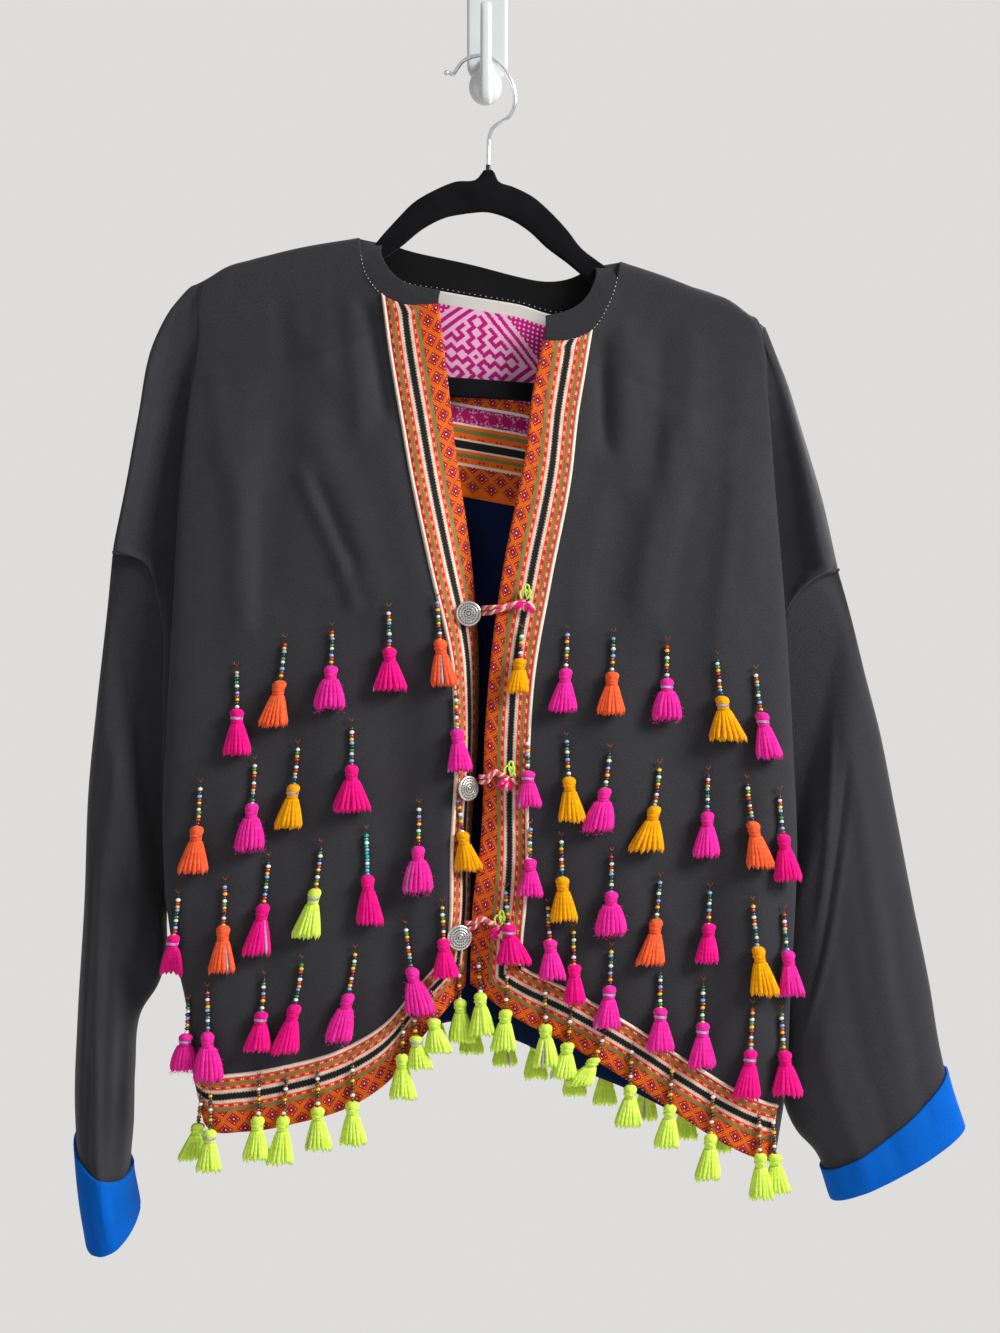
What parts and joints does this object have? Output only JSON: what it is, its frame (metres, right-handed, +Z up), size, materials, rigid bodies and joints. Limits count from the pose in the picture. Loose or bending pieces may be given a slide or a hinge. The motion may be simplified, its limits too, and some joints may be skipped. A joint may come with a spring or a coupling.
{
  "type": "embroidered jacket on a velvet hanger and a plastic wall hook",
  "caption": "Boxy dark twill jacket with ribbon bands, bead and wool tassels, blue cuffs and cord loops, hung open on a flat velvet hanger from a glossy wall hook",
  "frame": {"origin": "middle of the wall hook's flat back, where it meets the wall", "axes": "+X to the viewer's right (the wearer's left), +Y into the wall, +Z up"},
  "size_m": [0.6766, 0.0752, 0.9649],
  "materials": {
    "back_surface": "dense black twill",
    "back_hem_band_surface": "woven ribbons with black braid",
    "back_hem_piping_surface": "cream piping",
    "back_lining_surface": "navy lining",
    "neck_panel_surface": "embroidered geometric panel",
    "button_1_surface": "engraved silver",
    "button_2_surface": "engraved silver",
    "button_3_surface": "engraved silver",
    "loop_1_surface": "twisted cord",
    "loop_2_surface": "twisted cord",
    "loop_3_surface": "twisted cord",
    "collar_surface": "dense black twill",
    "hanger_surface": "black velvet flock",
    "hanger_wire_surface": "polished wire",
    "wall_hook_surface": "white, glossy",
    "left_front_surface": "dense black twill",
    "left_front_band_surface": "woven ribbons with black braid",
    "left_front_piping_surface": "cream piping",
    "left_hem_band_surface": "woven ribbons with black braid",
    "left_hem_piping_surface": "cream piping",
    "left_sleeve_surface": "dense black twill",
    "left_cuff_surface": "royal blue cloth",
    "right_front_surface": "dense black twill",
    "right_front_band_surface": "woven ribbons with black braid",
    "right_front_piping_surface": "cream piping",
    "right_hem_band_surface": "woven ribbons with black braid",
    "right_hem_piping_surface": "cream piping",
    "right_sleeve_surface": "dense black twill",
    "right_cuff_surface": "royal blue cloth",
    "tassel_01_surface": "wool yarn",
    "tassel_02_surface": "wool yarn",
    "tassel_03_surface": "fuzzy wool yarn",
    "tassel_04_surface": "wool yarn",
    "tassel_05_surface": "wool yarn",
    "tassel_06_surface": "fuzzy wool yarn",
    "tassel_07_surface": "wool yarn",
    "tassel_08_surface": "wool yarn",
    "tassel_09_surface": "wool yarn",
    "tassel_10_surface": "fuzzy wool yarn",
    "tassel_11_surface": "wool yarn",
    "tassel_12_surface": "wool yarn",
    "tassel_13_surface": "wool yarn",
    "tassel_14_surface": "fuzzy wool yarn",
    "tassel_15_surface": "wool yarn",
    "tassel_16_surface": "fuzzy wool yarn",
    "tassel_17_surface": "fuzzy wool yarn",
    "tassel_18_surface": "wool yarn",
    "tassel_19_surface": "fuzzy wool yarn",
    "tassel_20_surface": "wool yarn",
    "tassel_21_surface": "wool yarn",
    "tassel_22_surface": "fuzzy wool yarn",
    "tassel_23_surface": "wool yarn",
    "tassel_24_surface": "fuzzy wool yarn",
    "tassel_25_surface": "wool yarn",
    "tassel_26_surface": "wool yarn",
    "tassel_27_surface": "fuzzy wool yarn",
    "tassel_28_surface": "wool yarn",
    "tassel_29_surface": "wool yarn",
    "tassel_30_surface": "fuzzy wool yarn",
    "tassel_31_surface": "wool yarn"
  },
  "bodies": {
    "root": {"back": "back_surface", "back_hem_band": "back_hem_band_surface", "back_hem_piping": "back_hem_piping_surface", "back_lining": "back_lining_surface", "button_1": "button_1_surface", "button_2": "button_2_surface", "button_3": "button_3_surface", "collar": "collar_surface", "hanger": "hanger_surface", "hanger_wire": "hanger_wire_surface", "left_cuff": "left_cuff_surface", "left_front": "left_front_surface", "left_front_band": "left_front_band_surface", "left_front_piping": "left_front_piping_surface", "left_hem_band": "left_hem_band_surface", "left_hem_piping": "left_hem_piping_surface", "left_sleeve": "left_sleeve_surface", "loop_1": "loop_1_surface", "loop_2": "loop_2_surface", "loop_3": "loop_3_surface", "neck_panel": "neck_panel_surface", "right_cuff": "right_cuff_surface", "right_front": "right_front_surface", "right_front_band": "right_front_band_surface", "right_front_piping": "right_front_piping_surface", "right_hem_band": "right_hem_band_surface", "right_hem_piping": "right_hem_piping_surface", "right_sleeve": "right_sleeve_surface", "tassel_01": "tassel_01_surface", "tassel_02": "tassel_02_surface", "tassel_03": "tassel_03_surface", "tassel_04": "tassel_04_surface", "tassel_05": "tassel_05_surface", "tassel_06": "tassel_06_surface", "tassel_07": "tassel_07_surface", "tassel_08": "tassel_08_surface", "tassel_09": "tassel_09_surface", "tassel_10": "tassel_10_surface", "tassel_11": "tassel_11_surface", "tassel_12": "tassel_12_surface", "tassel_13": "tassel_13_surface", "tassel_14": "tassel_14_surface", "tassel_15": "tassel_15_surface", "tassel_16": "tassel_16_surface", "tassel_17": "tassel_17_surface", "tassel_18": "tassel_18_surface", "tassel_19": "tassel_19_surface", "tassel_20": "tassel_20_surface", "tassel_21": "tassel_21_surface", "tassel_22": "tassel_22_surface", "tassel_23": "tassel_23_surface", "tassel_24": "tassel_24_surface", "tassel_25": "tassel_25_surface", "tassel_26": "tassel_26_surface", "tassel_27": "tassel_27_surface", "tassel_28": "tassel_28_surface", "tassel_29": "tassel_29_surface", "tassel_30": "tassel_30_surface", "tassel_31": "tassel_31_surface", "wall_hook": "wall_hook_surface"}
  },
  "joints": []
}
